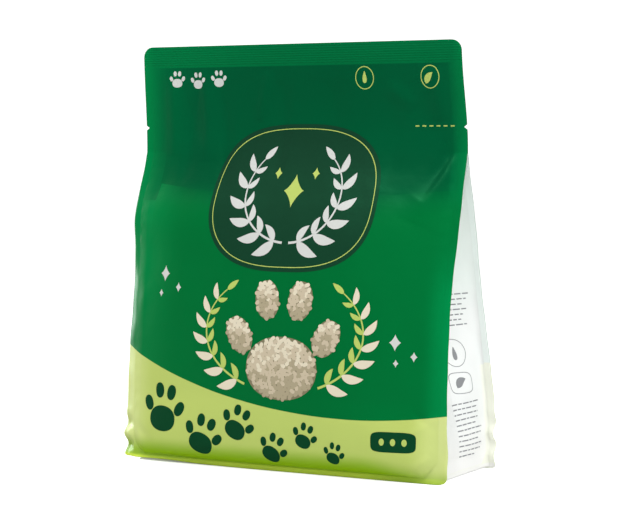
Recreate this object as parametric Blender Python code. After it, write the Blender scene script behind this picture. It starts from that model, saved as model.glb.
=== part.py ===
"""Sealed stand-up litter bag: a flat-bottomed film pouch with folded side gussets.

The filled, sealed bag is one closed solid, built as a stack of level outlines.
Each outline runs once round the bag: front panel, front-right seam fin, right
gusset, back-right fin, back panel, and the same again down the left side.
Where the front and back seam fins meet, the gusset pockets end under a small
ceiling, and the flattened head carries on up to the crimped top seal.

Metres, +Z up, the front panel faces -Y, the origin is on the floor in the
middle of the bag.
"""

import math

import bmesh
import bpy
import numpy as np

# Overall size
BAG_WIDTH = 0.276        # fin edge to fin edge across the top seal
BAG_HEIGHT = 0.321       # floor to the top edge
BASE_DEPTH = 0.091       # front fin to back fin at the floor

# Seams
SIDE_FIN = 0.006         # width of the four upright seam fins
FIN_THICKNESS = 0.00045  # two films welded flat
FOLD_GAP = 0.0003        # least space between the two fins of one side
BOTTOM_FIN = 0.004       # height of the welded rim that the bag stands on
RIM_THICKNESS = 0.0009
TOP_SEAL = 0.0165        # height of the crimped band
TOP_CORNER_RADIUS = 0.008
BOTTOM_CORNER_RADIUS = 0.009

# Filled shape
FINS_MEET = 0.242        # height at which the front and back fins touch
PINCH_POWER = 1.75       # how late the two sides start to close
PINCH_END_POWER = 1.1
WAIST = 0.002            # how far each side is drawn in where the bag is full
WAIST_FULL = 0.110       # below this height it is drawn in by all of it
WAIST_NONE = 0.190
BULGE = 0.015            # how far the full panels stand out past their fins
BULGE_FOOT = 0.014       # height of the round foot above the bottom rim
BULGE_SLOW = 0.090       # height over which the rest of the bulge builds up
FOOT_SHARE = 0.5
BULGE_TOP_START = 0.170  # the bulge starts to fade here
SHOULDER_LEAN = 0.012    # the flat head stands this far in front of the base
TOP_CURL = 0.008         # the top edge curls forward by this much more
TOP_TWIST = 0.004        # and its right end further forward than its left
BASE_INSET = 0.008       # rim to the flat of the bottom panel
CENTRE_SHIFT = 0.001     # puts the middle of the whole depth over the origin
GUSSET_FILL = 0.72       # share of the free fold depth that the filling leaves

# Crimp of the top seal
CRIMP_COUNT = 8
CRIMP_DEPTH = 0.0003
CRIMP_MARGIN = 0.0012    # plain edge above and below the ridges

# Tear notches
NOTCH_HEIGHT = 0.258
NOTCH_DEPTH = 0.0026
NOTCH_HALF_OPENING = 0.0019

# Soft creases of the empty head: (foot x, foot z, head x, head z, depth, half width)
CREASES = [
    (-0.086, 0.222, -0.094, 0.296, 0.0016, 0.0070),
    (-0.060, 0.215, -0.072, 0.290, 0.0011, 0.0060),
    (-0.018, 0.232, -0.012, 0.298, 0.0012, 0.0080),
    (0.094, 0.205, 0.128, 0.243, 0.0018, 0.0060),
    (0.082, 0.206, 0.084, 0.262, 0.0010, 0.0070),
]

# Wavy seam fins near the floor: (height of the middle, wavelength, swing)
WAVES = {
    "front left": (0.020, 0.026, 0.0030),
    "front right": (0.010, 0.034, 0.0012),
    "back left": (0.016, 0.024, 0.0022),
    "back right": (0.021, 0.0155, 0.0034),
}
STRAIGHT_FINS = dict.fromkeys(WAVES)
WAVE_FADE = 0.026

# Fineness
PANEL_STEPS = 42
GUSSET_STEPS = 12

# Colour fields: the lime band's upper edge falls from the left end to the right
LIME_LEFT = 0.087
LIME_RIGHT = 0.052
GREEN = (0.003, 0.165, 0.042, 1.0)
LIME = (0.52, 0.63, 0.17, 1.0)
WHITE = (0.85, 0.88, 0.86, 1.0)


def smooth_step(value, low, high):
    """0 below low, 1 above high, and a smooth S between them."""
    t = np.clip((np.asarray(value, float) - low) / (high - low), 0.0, 1.0)
    return t * t * (3.0 - 2.0 * t)


def quarter_round(value, reach):
    """Rises from 0 to 1 over reach like a quarter of a circle."""
    t = np.clip(value / reach, 0.0, 1.0)
    return math.sqrt(1.0 - (1.0 - t) ** 2)


def least_half_depth():
    """Half of the flattened head: one fin and half of the gap between two."""
    return FIN_THICKNESS + FOLD_GAP / 2


def fin_half_depth(z):
    """Half the distance between the front and back fins of one side."""
    if z >= FINS_MEET:
        return least_half_depth()
    open_share = (1.0 - (z / FINS_MEET) ** PINCH_POWER) ** PINCH_END_POWER
    return max(BASE_DEPTH / 2 * open_share, least_half_depth())


def slot_top():
    """Height at which the two fins of one side are FOLD_GAP apart."""
    share = least_half_depth() / (BASE_DEPTH / 2)
    return FINS_MEET * (1.0 - share ** (1.0 / PINCH_END_POWER)) ** (1.0 / PINCH_POWER)


def middle(z, x=0.0):
    """Depth of the surface half way between the front and back fins."""
    lean = SHOULDER_LEAN * smooth_step(z, 0.0, 0.19)
    curl = smooth_step(z, FINS_MEET, BAG_HEIGHT)
    twist = TOP_TWIST * x / (BAG_WIDTH / 2)
    return CENTRE_SHIFT - lean - curl * (TOP_CURL + twist)


def bulge(z):
    """How far the middle of a panel stands out past its seams."""
    above_rim = z - BOTTOM_FIN
    if above_rim <= 0.0:
        return 0.0
    foot = FOOT_SHARE * quarter_round(above_rim, BULGE_FOOT)
    slow = (1.0 - FOOT_SHARE) * quarter_round(above_rim, BULGE_SLOW)
    fade = 1.0 - float(smooth_step(z, BULGE_TOP_START, BAG_HEIGHT - TOP_SEAL))
    return BULGE * (foot + slow) * fade


def side_x(z):
    """Distance from the middle plane to the fins' outer edge, before its corners are rounded."""
    return BAG_WIDTH / 2 - WAIST * (1.0 - float(smooth_step(z, WAIST_FULL, WAIST_NONE)))


def edge_x(z):
    """Distance from the middle plane to the fins' outer edge, corners rounded."""
    x = side_x(z)
    above = z - (BAG_HEIGHT - TOP_CORNER_RADIUS)
    if above > 0.0:
        x -= TOP_CORNER_RADIUS - math.sqrt(max(TOP_CORNER_RADIUS**2 - above**2, 0.0))
    below = BOTTOM_CORNER_RADIUS - z
    if below > 0.0:
        x -= BOTTOM_CORNER_RADIUS - math.sqrt(max(BOTTOM_CORNER_RADIUS**2 - below**2, 0.0))
    return x


def notch(z):
    """How deep the tear notch cuts the fins at this height."""
    return NOTCH_DEPTH * max(0.0, 1.0 - abs(z - NOTCH_HEIGHT) / NOTCH_HALF_OPENING)


def seam_x(z):
    """Where the panels meet the fins; the round bottom corners push it inwards."""
    if z > BAG_HEIGHT / 2:
        return edge_x(z) - SIDE_FIN
    return min(side_x(z) - SIDE_FIN, edge_x(z) - FIN_THICKNESS)


def panel_shape(across, z):
    """Bulge across a panel: 1 in the middle, 0 at its seams; squarer near the floor."""
    power = 2.6 + 5.4 * (1.0 - float(smooth_step(z, BOTTOM_FIN, 0.06)))
    return 1.0 - np.abs(across) ** power


def fold_depth(z):
    """How far the gusset's middle crease is folded inwards."""
    half_film = BASE_DEPTH / 2
    free = math.sqrt(max(half_film**2 - fin_half_depth(z) ** 2, 0.0))
    share = GUSSET_FILL + (1.0 - GUSSET_FILL) * float(smooth_step(z, 0.08, 0.19))
    return free * share


def fin_wave(z, wave):
    """Sideways swing of a fin's free edge: a short ripple that fades with height."""
    centre, length, swing = wave
    fade = math.exp(-(((z - centre) / WAVE_FADE) ** 2))
    return swing * fade * math.cos(2.0 * math.pi * (z - centre) / length)


def crimp(z):
    """Shift of both faces of the top seal where the sealing jaws pressed their ridges."""
    low = BAG_HEIGHT - TOP_SEAL + CRIMP_MARGIN
    high = BAG_HEIGHT - CRIMP_MARGIN
    if not low <= z <= high:
        return 0.0
    return CRIMP_DEPTH * math.sin(2.0 * math.pi * CRIMP_COUNT * (z - low) / (high - low))


def creases(x, z):
    """Depth of the soft creases pressed into the front of the head."""
    depth = np.zeros_like(x)
    for foot_x, foot_z, head_x, head_z, deepest, half_width in CREASES:
        along = np.clip((z - foot_z) / (head_z - foot_z), 0.0, 1.0)
        off_line = (x - foot_x - along * (head_x - foot_x)) / half_width
        depth += deepest * math.sin(math.pi * along) * np.exp(-off_line**2)
    return depth


def panel_points(z, side):
    """Points of the front (side -1) or back (side +1) panel from left to right."""
    across = np.sin(np.linspace(-1.0, 1.0, PANEL_STEPS + 1) * math.pi / 2)
    x = across * seam_x(z)
    depth = fin_half_depth(z) + bulge(z) * panel_shape(across, z)
    y = middle(z, x) + crimp(z) + side * depth
    if side < 0:
        y += np.minimum(creases(x, z), np.maximum(depth - least_half_depth(), 0.0))
    return np.column_stack([x, y, np.full_like(x, z)])


def gusset_points(z, side):
    """Points of the left (-1) or right (+1) gusset from its front seam to its back seam."""
    along = np.linspace(-1.0, 1.0, GUSSET_STEPS + 1)
    sharpness = 1.35 - 0.35 * float(smooth_step(z, 0.10, 0.20))
    fold = fold_depth(z) * (1.0 - np.abs(along)) ** sharpness
    x = side * (seam_x(z) - fold)
    y = middle(z, x) + along * (fin_half_depth(z) - FIN_THICKNESS)
    return np.column_stack([x, y, np.full_like(x, z)])


def fin_points(z, side, face, wave):
    """The free edge of one fin: its outer corner and its inner corner."""
    x = side * (edge_x(z) - notch(z))
    swing = fin_wave(z, wave) if wave else 0.0
    y = middle(z, x) + crimp(z) + face * (fin_half_depth(z) + swing)
    return np.array([[x, y, z], [x, y - face * FIN_THICKNESS, z]])


def full_outline(z, waves=WAVES):
    """One turn round the bag below the fins' meeting point, anticlockwise from above."""
    return np.vstack([
        panel_points(z, -1),
        fin_points(z, 1, -1, waves["front right"]),
        gusset_points(z, 1),
        fin_points(z, 1, 1, waves["back right"])[::-1],
        panel_points(z, 1)[::-1],
        fin_points(z, -1, 1, waves["back left"]),
        gusset_points(z, -1)[::-1],
        fin_points(z, -1, -1, waves["front left"])[::-1],
    ])


def head_outline(z):
    """One turn round the flattened head, where the gussets lie folded and sealed."""
    outline = full_outline(z)
    return outline[head_indices()]


def head_indices():
    """Places in a full outline that carry on above the gusset pockets."""
    panel, gusset = PANEL_STEPS + 1, GUSSET_STEPS + 1
    right_gusset = panel + 2
    left_gusset = 2 * panel + gusset + 6
    skipped = set(range(right_gusset, right_gusset + gusset))
    skipped |= set(range(left_gusset, left_gusset + gusset))
    total = 2 * panel + 2 * gusset + 8
    return [i for i in range(total) if i not in skipped]


def base_outline(inset, z):
    """The outline of the bottom panel, drawn in from the rim, its fins closed up."""
    outline = full_outline(0.0, STRAIGHT_FINS)
    half_x = seam_x(0.0) - inset
    half_y = fin_half_depth(0.0) - inset
    outline[:, 0] = np.clip(outline[:, 0], -half_x, half_x)
    outline[:, 1] = np.clip(outline[:, 1], middle(0.0) - half_y, middle(0.0) + half_y)
    outline[:, 2] = z
    return outline


def body_heights():
    """Levels from the floor to the top of the gusset pockets."""
    rim = [0.0, 0.002, BOTTOM_FIN]
    foot = [BOTTOM_FIN + BULGE_FOOT * share for share in (0.03, 0.14, 0.35, 0.65, 1.0)]
    waves = list(np.arange(0.0225, 0.05, 0.0045))
    body = list(np.linspace(0.056, slot_top() - 0.012, 15))
    return rim + foot + waves + body + [slot_top() - 0.004, slot_top()]


def head_heights():
    """Levels from the gusset pockets to the top edge, with two for each crimp ridge."""
    seal_bottom = BAG_HEIGHT - TOP_SEAL
    notch_levels = [
        NOTCH_HEIGHT - NOTCH_HALF_OPENING,
        NOTCH_HEIGHT,
        NOTCH_HEIGHT + NOTCH_HALF_OPENING,
    ]
    panel = list(np.linspace(NOTCH_HEIGHT + 0.008, seal_bottom, 5))
    low, high = seal_bottom + CRIMP_MARGIN, BAG_HEIGHT - CRIMP_MARGIN
    ridge = (high - low) / CRIMP_COUNT
    crests = [low + ridge * (i / 2 + 0.25) for i in range(2 * CRIMP_COUNT)]
    return [slot_top() + 0.006] + notch_levels + panel + [low] + crests + [high, BAG_HEIGHT]


def add_ring(mesh, points):
    """New vertices for one outline."""
    return [mesh.verts.new(point) for point in points]


def bridge(mesh, lower, upper):
    """A band of quads between two outlines with the same number of points."""
    count = len(lower)
    for i in range(count):
        j = (i + 1) % count
        mesh.faces.new((lower[i], lower[j], upper[j], upper[i]))


def close_pocket(mesh, ring, first):
    """The ceiling of one gusset pocket, from its two fins to the crease."""
    mesh.faces.new(ring[first - 1:first + GUSSET_STEPS + 2])


def close_top(mesh, ring):
    """The top edge: a strip between the front and back faces, and its two ends."""
    panel = PANEL_STEPS + 1
    front = ring[:panel]
    right = ring[panel:panel + 4]
    back = ring[panel + 4:2 * panel + 4][::-1]
    left = ring[2 * panel + 4:]
    for i in range(PANEL_STEPS):
        mesh.faces.new((front[i], front[i + 1], back[i + 1], back[i]))
    mesh.faces.new([front[-1], *right, back[-1]])
    mesh.faces.new([back[0], *left, front[0]])


def make_bag_mesh():
    """The closed surface of the sealed bag."""
    mesh = bmesh.new()
    flat = add_ring(mesh, base_outline(BASE_INSET, 0.0))
    groove = add_ring(mesh, base_outline(RIM_THICKNESS + 0.0006, BOTTOM_FIN * 0.8))
    rim_inside = add_ring(mesh, base_outline(RIM_THICKNESS, 0.0))
    rings = [add_ring(mesh, full_outline(z)) for z in body_heights()]
    mesh.faces.new(flat)
    for lower, upper in zip([flat, groove, rim_inside] + rings[:-1], [groove, rim_inside] + rings):
        bridge(mesh, lower, upper)

    pocket_top = rings[-1]
    panel, gusset = PANEL_STEPS + 1, GUSSET_STEPS + 1
    close_pocket(mesh, pocket_top, panel + 2)
    close_pocket(mesh, pocket_top, 2 * panel + gusset + 6)

    lower = [pocket_top[i] for i in head_indices()]
    for z in head_heights():
        upper = add_ring(mesh, head_outline(z))
        bridge(mesh, lower, upper)
        lower = upper
    close_top(mesh, lower)

    bmesh.ops.remove_doubles(mesh, verts=mesh.verts, dist=1e-6)
    bmesh.ops.recalc_face_normals(mesh, faces=mesh.faces)
    data = bpy.data.meshes.new("bag")
    mesh.to_mesh(data)
    mesh.free()
    return data


def film_material(name, colour):
    """Satin printed film of one colour."""
    material = bpy.data.materials.new(name)
    material.use_nodes = True
    surface = material.node_tree.nodes["Principled BSDF"]
    surface.inputs["Base Color"].default_value = colour
    surface.inputs["Roughness"].default_value = 0.35
    surface.inputs["Metallic"].default_value = 0.0
    material.diffuse_color = colour
    return material


def colour_film(data):
    """Green panels over a lime band, with white gussets and a white bottom."""
    for name, colour in (("green_film", GREEN), ("lime_film", LIME), ("white_film", WHITE)):
        data.materials.append(film_material(name, colour))
    for face in data.polygons:
        x, _, z = face.center
        share = (x + BAG_WIDTH / 2) / BAG_WIDTH
        lime_edge = LIME_LEFT + (LIME_RIGHT - LIME_LEFT) * math.sin(share * math.pi / 2)
        if abs(face.normal.y) < 0.35 and z < FINS_MEET or z < BOTTOM_FIN / 2:
            face.material_index = 2
        elif z < lime_edge:
            face.material_index = 1


def main():
    for old in list(bpy.data.objects):
        bpy.data.objects.remove(old, do_unlink=True)
    bag = bpy.data.objects.new("bag", make_bag_mesh())
    bpy.context.scene.collection.objects.link(bag)
    colour_film(bag.data)
    bag.data.shade_smooth()
    bag.data.set_sharp_from_angle(angle=math.radians(40))


main()
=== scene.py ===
# %% [markdown]
# # A sealed litter pouch in printed film
#
# A flat-bottomed pouch is five webs of film welded together: a front, a back, two folded sides
# and a bottom. The scene builds each web as a surface that is computed from two numbers, so that
# neighbours meet exactly along their welds. It then lays the printed shapes on the film, gives
# the film its gloss, and sets up a white studio with the camera at the photograph's angle.

import math

import bpy
import numpy as np
from mathutils import Matrix, Vector


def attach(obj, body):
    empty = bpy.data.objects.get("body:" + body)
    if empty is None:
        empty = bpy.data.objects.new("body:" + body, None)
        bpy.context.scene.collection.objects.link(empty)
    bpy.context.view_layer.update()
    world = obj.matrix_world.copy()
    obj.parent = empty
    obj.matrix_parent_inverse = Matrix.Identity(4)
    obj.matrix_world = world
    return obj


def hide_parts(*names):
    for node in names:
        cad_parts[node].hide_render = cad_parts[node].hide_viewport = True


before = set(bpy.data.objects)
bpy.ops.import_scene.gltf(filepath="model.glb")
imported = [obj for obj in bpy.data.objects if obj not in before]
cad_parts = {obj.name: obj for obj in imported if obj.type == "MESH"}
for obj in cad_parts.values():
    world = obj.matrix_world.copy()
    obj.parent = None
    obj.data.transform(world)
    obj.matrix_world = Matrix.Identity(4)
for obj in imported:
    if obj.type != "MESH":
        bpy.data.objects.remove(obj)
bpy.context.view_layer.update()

# %% [markdown]
# ## Sizes
#
# All lengths are in metres. The names say what each one is on a real pouch: a fin is the narrow
# strip where two webs are welded flat, and the rim is the same weld round the bottom.

# %% Sizes
WIDTH, HEIGHT, BASE_DEPTH = 0.276, 0.321, 0.091
SIDE_FIN, FIN_THICKNESS, LEAST_HALF = 0.006, 0.00045, 0.0006
RIM, RIM_THICKNESS, TOP_SEAL = 0.004, 0.0009, 0.0165
TOP_RADIUS, BOTTOM_RADIUS, CORNER_WELD = 0.008, 0.009, 0.011
FINS_MEET, POCKET_TOP = 0.242, 0.2387
FILL_LEVEL = 0.2045
NOTCH_HEIGHT, NOTCH_DEPTH, NOTCH_HALF = 0.258, 0.0026, 0.0019
CRIMPS, CRIMP_DEPTH, CRIMP_MARGIN = 8, 0.00013, 0.0012
FIN_LEAN, LEFT_SHOULDER = 0.0036, 0.0057

# each lower corner of the fins, by hand (-1 left) and face (-1 front): radius, flare and foot
CORNERS = {
    (-1, -1): (0.0020, 0.0046, 0.0010),
    (1, -1): (0.0065, 0.0006, 0.0012),
    (-1, 1): (0.0040, 0.0020, 0.0000),
    (1, 1): (0.0020, 0.0017, -0.0015),
}

# %% [markdown]
# ## The filled shape
#
# Two small curves do most of the work. A smooth step eases from 0 to 1 with no corner, and a
# quarter round rises like the side of a coin. From them come the distance between the front and
# back fins at each height, how far the panels bulge past their fins, and how the head leans and
# curls.


# %% Curves of height
# how the gap between the fins closes with height, and how the end of that is eased
TAPER, ROUNDING, EASE_REACH, EASE_FROM = 1.75, 1.1, 0.016, 0.15

# how far the head leans, curls and twists, and where the left shoulder dips
LEAN, CURL, TWIST = 0.012, 0.008, 0.004
SHOULDER_HEIGHT, SHOULDER_REACH = 0.193, 0.024

# how far the panels bulge, how much the full pouch is drawn in, and how high the boxy foot reaches
BULGE, DRAWN_IN, BOXY_BELOW = 0.015, 0.002, 0.06


def smooth_step(value, low, high):
    """Three t squared minus two t cubed, where t runs from 0 at low to 1 at high."""
    t = np.clip((np.asarray(value, float) - low) / (high - low), 0.0, 1.0)
    return t * t * (3.0 - 2.0 * t)


def quarter_round(value, reach):
    """The height of a quarter circle: the square root of 1 minus (1 - t) squared."""
    t = np.clip(value / reach, 0.0, 1.0)
    return np.sqrt(1.0 - (1.0 - t) ** 2)


def half_depth(z):
    """Half the gap between the front and back fins: full at the floor, closed where they meet."""
    share = np.clip(np.asarray(z, float) / FINS_MEET, 0.0, 1.0)
    return np.maximum(BASE_DEPTH / 2 * (1.0 - share**TAPER) ** ROUNDING, LEAST_HALF)


def eased_depth(x, z):
    """Rounds off the kink where the fins meet: the depth averaged over heights, less itself."""
    shifts = np.linspace(-EASE_REACH, EASE_REACH, 9)
    near = sum(half_depth(np.asarray(z) + shift) for shift in shifts) / len(shifts)
    inside = np.clip((seam_x(z) - np.abs(x)) / 0.02, 0.0, 1.0)
    return (near - half_depth(z)) * inside * (z > EASE_FROM)


def middle(z, x):
    """Depth of the surface half way between the fins: it leans, and the top curls and twists."""
    curl = smooth_step(z, FINS_MEET, HEIGHT) * (CURL + TWIST * x / (WIDTH / 2))
    left = np.clip(-x / (WIDTH / 2), 0.0, 1.0)
    shoulder = LEFT_SHOULDER * left * np.exp(-(((z - SHOULDER_HEIGHT) / SHOULDER_REACH) ** 2))
    return 0.001 - LEAN * smooth_step(z, 0.0, 0.19) - curl - shoulder


def side_x(z):
    """Half width before the corners are rounded: the full pouch is drawn in a little."""
    return WIDTH / 2 - DRAWN_IN * (1.0 - smooth_step(z, 0.110, 0.190))


def edge_x(z, radius=BOTTOM_RADIUS, flare=0.0, foot=0.0):
    """Half width at the fins' free edge: round corners, and a flare or a foot near the floor."""
    x = side_x(z) + flare * (1.0 - smooth_step(z, 0.050, 0.160))
    x = x + foot * (1.0 - smooth_step(z, 0.018, 0.045))
    above = np.clip(z - (HEIGHT - TOP_RADIUS), 0.0, TOP_RADIUS)
    below = np.clip(radius - z, 0.0, radius)
    x = x - (TOP_RADIUS - np.sqrt(TOP_RADIUS**2 - above**2))
    return x - (radius - np.sqrt(radius**2 - below**2))


def seam_x(z):
    """Half width where a panel meets its fins."""
    edge = edge_x(z)
    lower = np.minimum(side_x(z) - SIDE_FIN, edge - FIN_THICKNESS)
    return np.where(z > HEIGHT / 2, edge - SIDE_FIN, lower)


def bulge(x, z):
    """How far a panel stands out past its fins; its foot starts along the slanted corner welds."""
    seam = seam_x(z)
    corner = np.maximum(np.abs(x) - (seam - CORNER_WELD), 0.0) * (z < BOXY_BELOW)
    lift = np.maximum(z - RIM - corner, 0.0)
    rise = 0.5 * quarter_round(lift, 0.014) + 0.5 * quarter_round(lift, 0.090)
    fade = 1.0 - smooth_step(z, 0.170, HEIGHT - TOP_SEAL)
    power = 2.6 + 5.4 * (1.0 - smooth_step(z, RIM, BOXY_BELOW))
    across = np.clip(np.abs(x) / seam, 0.0, 1.0)
    return BULGE * rise * fade * (1.0 - across**power)


gaps = [round(2000 * float(half_depth(z)), 1) for z in (0.0, 0.1, 0.2)]
print("gap between the fins in mm", gaps)


# %% [markdown]
# ## Creases, dents and ripples
#
# Film doesn't stretch, so it takes up spare length in short folds. Each fold here is a line with
# a height that fades at both ends and to both sides, and the loose head has the deepest ones.
# Rows of small puckers run in from the welds, because a weld is a little shorter than the film
# beside it. The free edges of the fins ripple near the floor, each corner in its own way, and the
# front rim curls up a little at the left.


# %% Folds and ripples
def fold(x, z, start, end, height, left, right):
    """A soft fold from start to end: height times a sine along it times a bell across it."""
    dx, dz = end[0] - start[0], end[1] - start[1]
    length = math.hypot(dx, dz)
    along = ((x - start[0]) * dx + (z - start[1]) * dz) / length**2
    off = ((x - start[0]) * dz - (z - start[1]) * dx) / length
    width = np.where(off < 0, left, right)
    fade = np.sin(math.pi * np.clip(along, 0.0, 1.0)) ** 0.7
    return height * fade * np.exp(-((off / width) ** 2))


# each fold: where it starts and ends, its height, and its reach to the left and to the right
FRONT_FOLDS = [
    ((-0.111, 0.236), (-0.110, 0.305), 0.0022, 0.008, 0.005),
    ((-0.097, 0.215), (-0.093, 0.302), -0.0014, 0.005, 0.008),
    ((-0.078, 0.232), (-0.082, 0.305), 0.0018, 0.006, 0.009),
    ((-0.060, 0.210), (-0.068, 0.296), -0.0012, 0.006, 0.007),
    ((-0.033, 0.262), (-0.023, 0.303), 0.0014, 0.005, 0.004),
    ((-0.014, 0.215), (-0.010, 0.302), -0.0010, 0.008, 0.005),
    ((0.030, 0.250), (0.036, 0.300), -0.0008, 0.012, 0.009),
    ((0.076, 0.290), (0.098, 0.272), 0.0013, 0.006, 0.007),
    ((0.118, 0.262), (0.117, 0.304), 0.0016, 0.007, 0.006),
    ((0.107, 0.205), (0.134, 0.255), -0.0025, 0.007, 0.004),
    ((0.104, 0.188), (0.127, 0.244), 0.0026, 0.010, 0.013),
    ((0.078, 0.212), (0.086, 0.266), -0.0008, 0.007, 0.009),
    ((-0.128, 0.198), (-0.108, 0.224), -0.0006, 0.008, 0.007),
    ((0.112, 0.052), (0.129, 0.040), -0.0009, 0.004, 0.003),
    ((0.108, 0.034), (0.127, 0.046), 0.0006, 0.003, 0.004),
    ((-0.128, 0.030), (-0.108, 0.014), -0.0008, 0.004, 0.004),
    ((0.110, 0.009), (0.126, 0.020), 0.0008, 0.003, 0.003),
    ((-0.131, 0.118), (-0.112, 0.140), 0.0006, 0.005, 0.008),
    ((-0.120, 0.098), (-0.116, 0.178), -0.0005, 0.005, 0.009),
]
BACK_FOLDS = [
    ((-0.090, 0.225), (-0.096, 0.302), -0.0012, 0.006, 0.006),
    ((-0.036, 0.240), (-0.030, 0.303), 0.0009, 0.005, 0.004),
    ((0.020, 0.215), (0.014, 0.302), -0.0010, 0.008, 0.005),
    ((0.066, 0.236), (0.074, 0.303), 0.0010, 0.004, 0.006),
    ((0.104, 0.205), (0.131, 0.243), -0.0016, 0.005, 0.006),
    ((-0.100, 0.202), (-0.131, 0.240), -0.0017, 0.006, 0.004),
    ((-0.060, 0.190), (0.040, 0.204), -0.0008, 0.007, 0.009),
]

# the fins' swing near the floor, by hand and face: the height of its middle, length and depth
FIN_RIPPLES = {
    (-1, -1): (0.0195, 0.0185, 0.0032),
    (1, -1): (0.0100, 0.0340, 0.0012),
    (-1, 1): (0.0160, 0.0240, 0.0022),
    (1, 1): (0.0272, 0.0185, -0.0036),
}
SLOW_SWING = 0.0005

# heights of the relief over the filling, over the empty head and at the filling's top edge
FILLED_LUMPS, EMPTY_LUMPS, LEDGE = 0.00032, 0.00022, 0.00020
FIN_PUCKERS, SEAL_PUCKERS, RIM_PUCKERS = 0.00028, 0.00026, 0.00030

# the heights between which the filled body goes over into the flat head
SHOULDER = 0.19, 0.23


def lumps(x, z, seed):
    """Seven slow waves in seeded directions, averaged: the uneven filling under the film."""
    rng = np.random.default_rng(seed)
    total = np.zeros(np.broadcast(x, z).shape)
    for _ in range(7):
        angle, phase = rng.uniform(0, math.pi), rng.uniform(0, 2 * math.pi)
        k = 2 * math.pi / rng.uniform(0.028, 0.070)
        total += np.sin(k * (x * math.cos(angle) + z * math.sin(angle)) + phase)
    return total / 7


def puckers(distance, along, seed):
    """Small ripples that run in from a weld: a wave along it that fades with distance from it."""
    rng = np.random.default_rng(seed)
    wave = np.zeros(np.broadcast(distance, along).shape)
    for length in (0.0093, 0.0137, 0.0211):
        k = 2 * math.pi / (length * rng.uniform(0.9, 1.1))
        ripple = np.sin(k * along + rng.uniform(0, 6.3))
        wave += ripple * (0.6 + 0.4 * np.sin(along * 47 + rng.uniform(0, 6)))
    return wave / 3 * np.exp(-np.clip(distance, 0, 1) / 0.008)


def relief(x, z, side):
    """How far folds, lumps and puckers lift the front (-1) or back (+1) film outwards."""
    seam = seam_x(z)
    inside = np.clip((seam - np.abs(x)) / 0.008, 0.0, 1.0)
    seal = HEIGHT - TOP_SEAL
    clear = inside * smooth_step(z, RIM, 0.012) * (1.0 - smooth_step(z, seal - 0.008, seal))
    filled = 1.0 - smooth_step(z, FILL_LEVEL - 0.02, FILL_LEVEL + 0.015)
    total = (FILLED_LUMPS * filled + EMPTY_LUMPS) * lumps(x, z, 11 + side)
    total = total + LEDGE * smooth_step(z, FILL_LEVEL + 0.004, FILL_LEVEL - 0.006)
    for row in FRONT_FOLDS if side < 0 else BACK_FOLDS:
        total = total + fold(x, z, *row)
    total = total * clear
    edge = smooth_step(seam - np.abs(x), 0.0, 0.002) * smooth_step(z, RIM, 0.02)
    total += FIN_PUCKERS * edge * puckers(seam - np.abs(x), z, 22 + side) * (z < seal)
    total += SEAL_PUCKERS * inside * puckers(seal - z, x, 31 + side) * (z < seal)
    low = smooth_step(z, RIM, RIM + 0.004) * (1.0 - smooth_step(z, 0.012, 0.032))
    total += RIM_PUCKERS * inside * low * puckers(z - RIM, x, 41 + side)
    return total


def fin_ripple(x, z, side):
    """Sideways swing of the fins, from nothing at the seam to the full swing at the free edge."""
    reach = np.clip((np.abs(x) - seam_x(z)) / SIDE_FIN, 0.0, 1.6)
    swing = 0.0
    for hand in (-1, 1):
        centre, length, depth = FIN_RIPPLES[(hand, side)]
        fade = np.exp(-(((z - centre) / np.where(z > centre, 0.013, 0.026)) ** 2))
        low = depth * fade * np.cos(2 * math.pi * (z - centre) / length)
        slow = SLOW_SWING * np.sin(z * 148 + 2.1 * hand + side) * np.sin(z * 61 + hand)
        slow = slow * smooth_step(z, 0.03, 0.06) * (1.0 - smooth_step(z, 0.225, 0.24))
        swing = swing + np.where(np.sign(x) == hand, low + slow, 0.0)
    lean = FIN_LEAN * (1.0 - smooth_step(z, 0.12, 0.235)) * (side < 0)
    lean = lean * np.where(x < 0, 1.0, 0.15)
    return np.minimum(reach, 1.0) * swing - lean * reach**1.15


def crimp(z):
    """Ridges that the sealing jaws press into the top seal, the same way on both faces."""
    low, high = HEIGHT - TOP_SEAL + CRIMP_MARGIN, HEIGHT - CRIMP_MARGIN
    wave = np.sin(2 * math.pi * CRIMPS * (z - low) / (high - low))
    return CRIMP_DEPTH * wave * (z > low) * (z < high)


def panel_y(x, z, side):
    """Depth of the outer face of the front (-1) or back (+1) web, fins included."""
    inside = np.clip((seam_x(z) - np.abs(x)) / 0.0080, 0.0, 1.0)
    step = 0.0004 + 0.0007 * smooth_step(-x, 0.03, 0.11)
    step = step * (1.0 - (1.0 - inside) ** 1.3) * smooth_step(z, 0.006, 0.02)
    out = half_depth(z) + bulge(x, z) + fin_ripple(x, z, side)
    out = out + step * (1.0 - smooth_step(z, *SHOULDER)) + eased_depth(x, z)
    lift = relief(x, z, side)
    slack = np.maximum(bulge(x, z) - 0.0002, 0.0)
    return middle(z, x) + crimp(z) + side * (out + np.maximum(lift, -slack))


RIM_CURL, CURL_X = 0.0018, -0.108


def rim_lift(x, z):
    """How far the front rim stands off the floor: a bell along it, gone a little way up."""
    width = np.where(x < CURL_X, 0.060, 0.035)
    return RIM_CURL * np.exp(-(((x - CURL_X) / width) ** 2)) * (1.0 - smooth_step(z, 0.0, 0.012))


print(len(FRONT_FOLDS), "folds in front and", len(BACK_FOLDS), "behind")


# %% [markdown]
# ## The folded sides
#
# A side web keeps its width all the way up. Where its two fins come together, the spare width has
# to go somewhere, so it folds inwards: by Pythagoras, the free depth of the fold is the square
# root of half the web's width squared minus half the gap squared. Near the floor the filling
# holds the fold out, flat.


# %% Side webs
BELLY, SIDE_LUMPS, SIDE_RIPPLES, SIDE_PUCKERS = 0.0046, 0.0014, 0.0007, 0.0012


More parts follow.
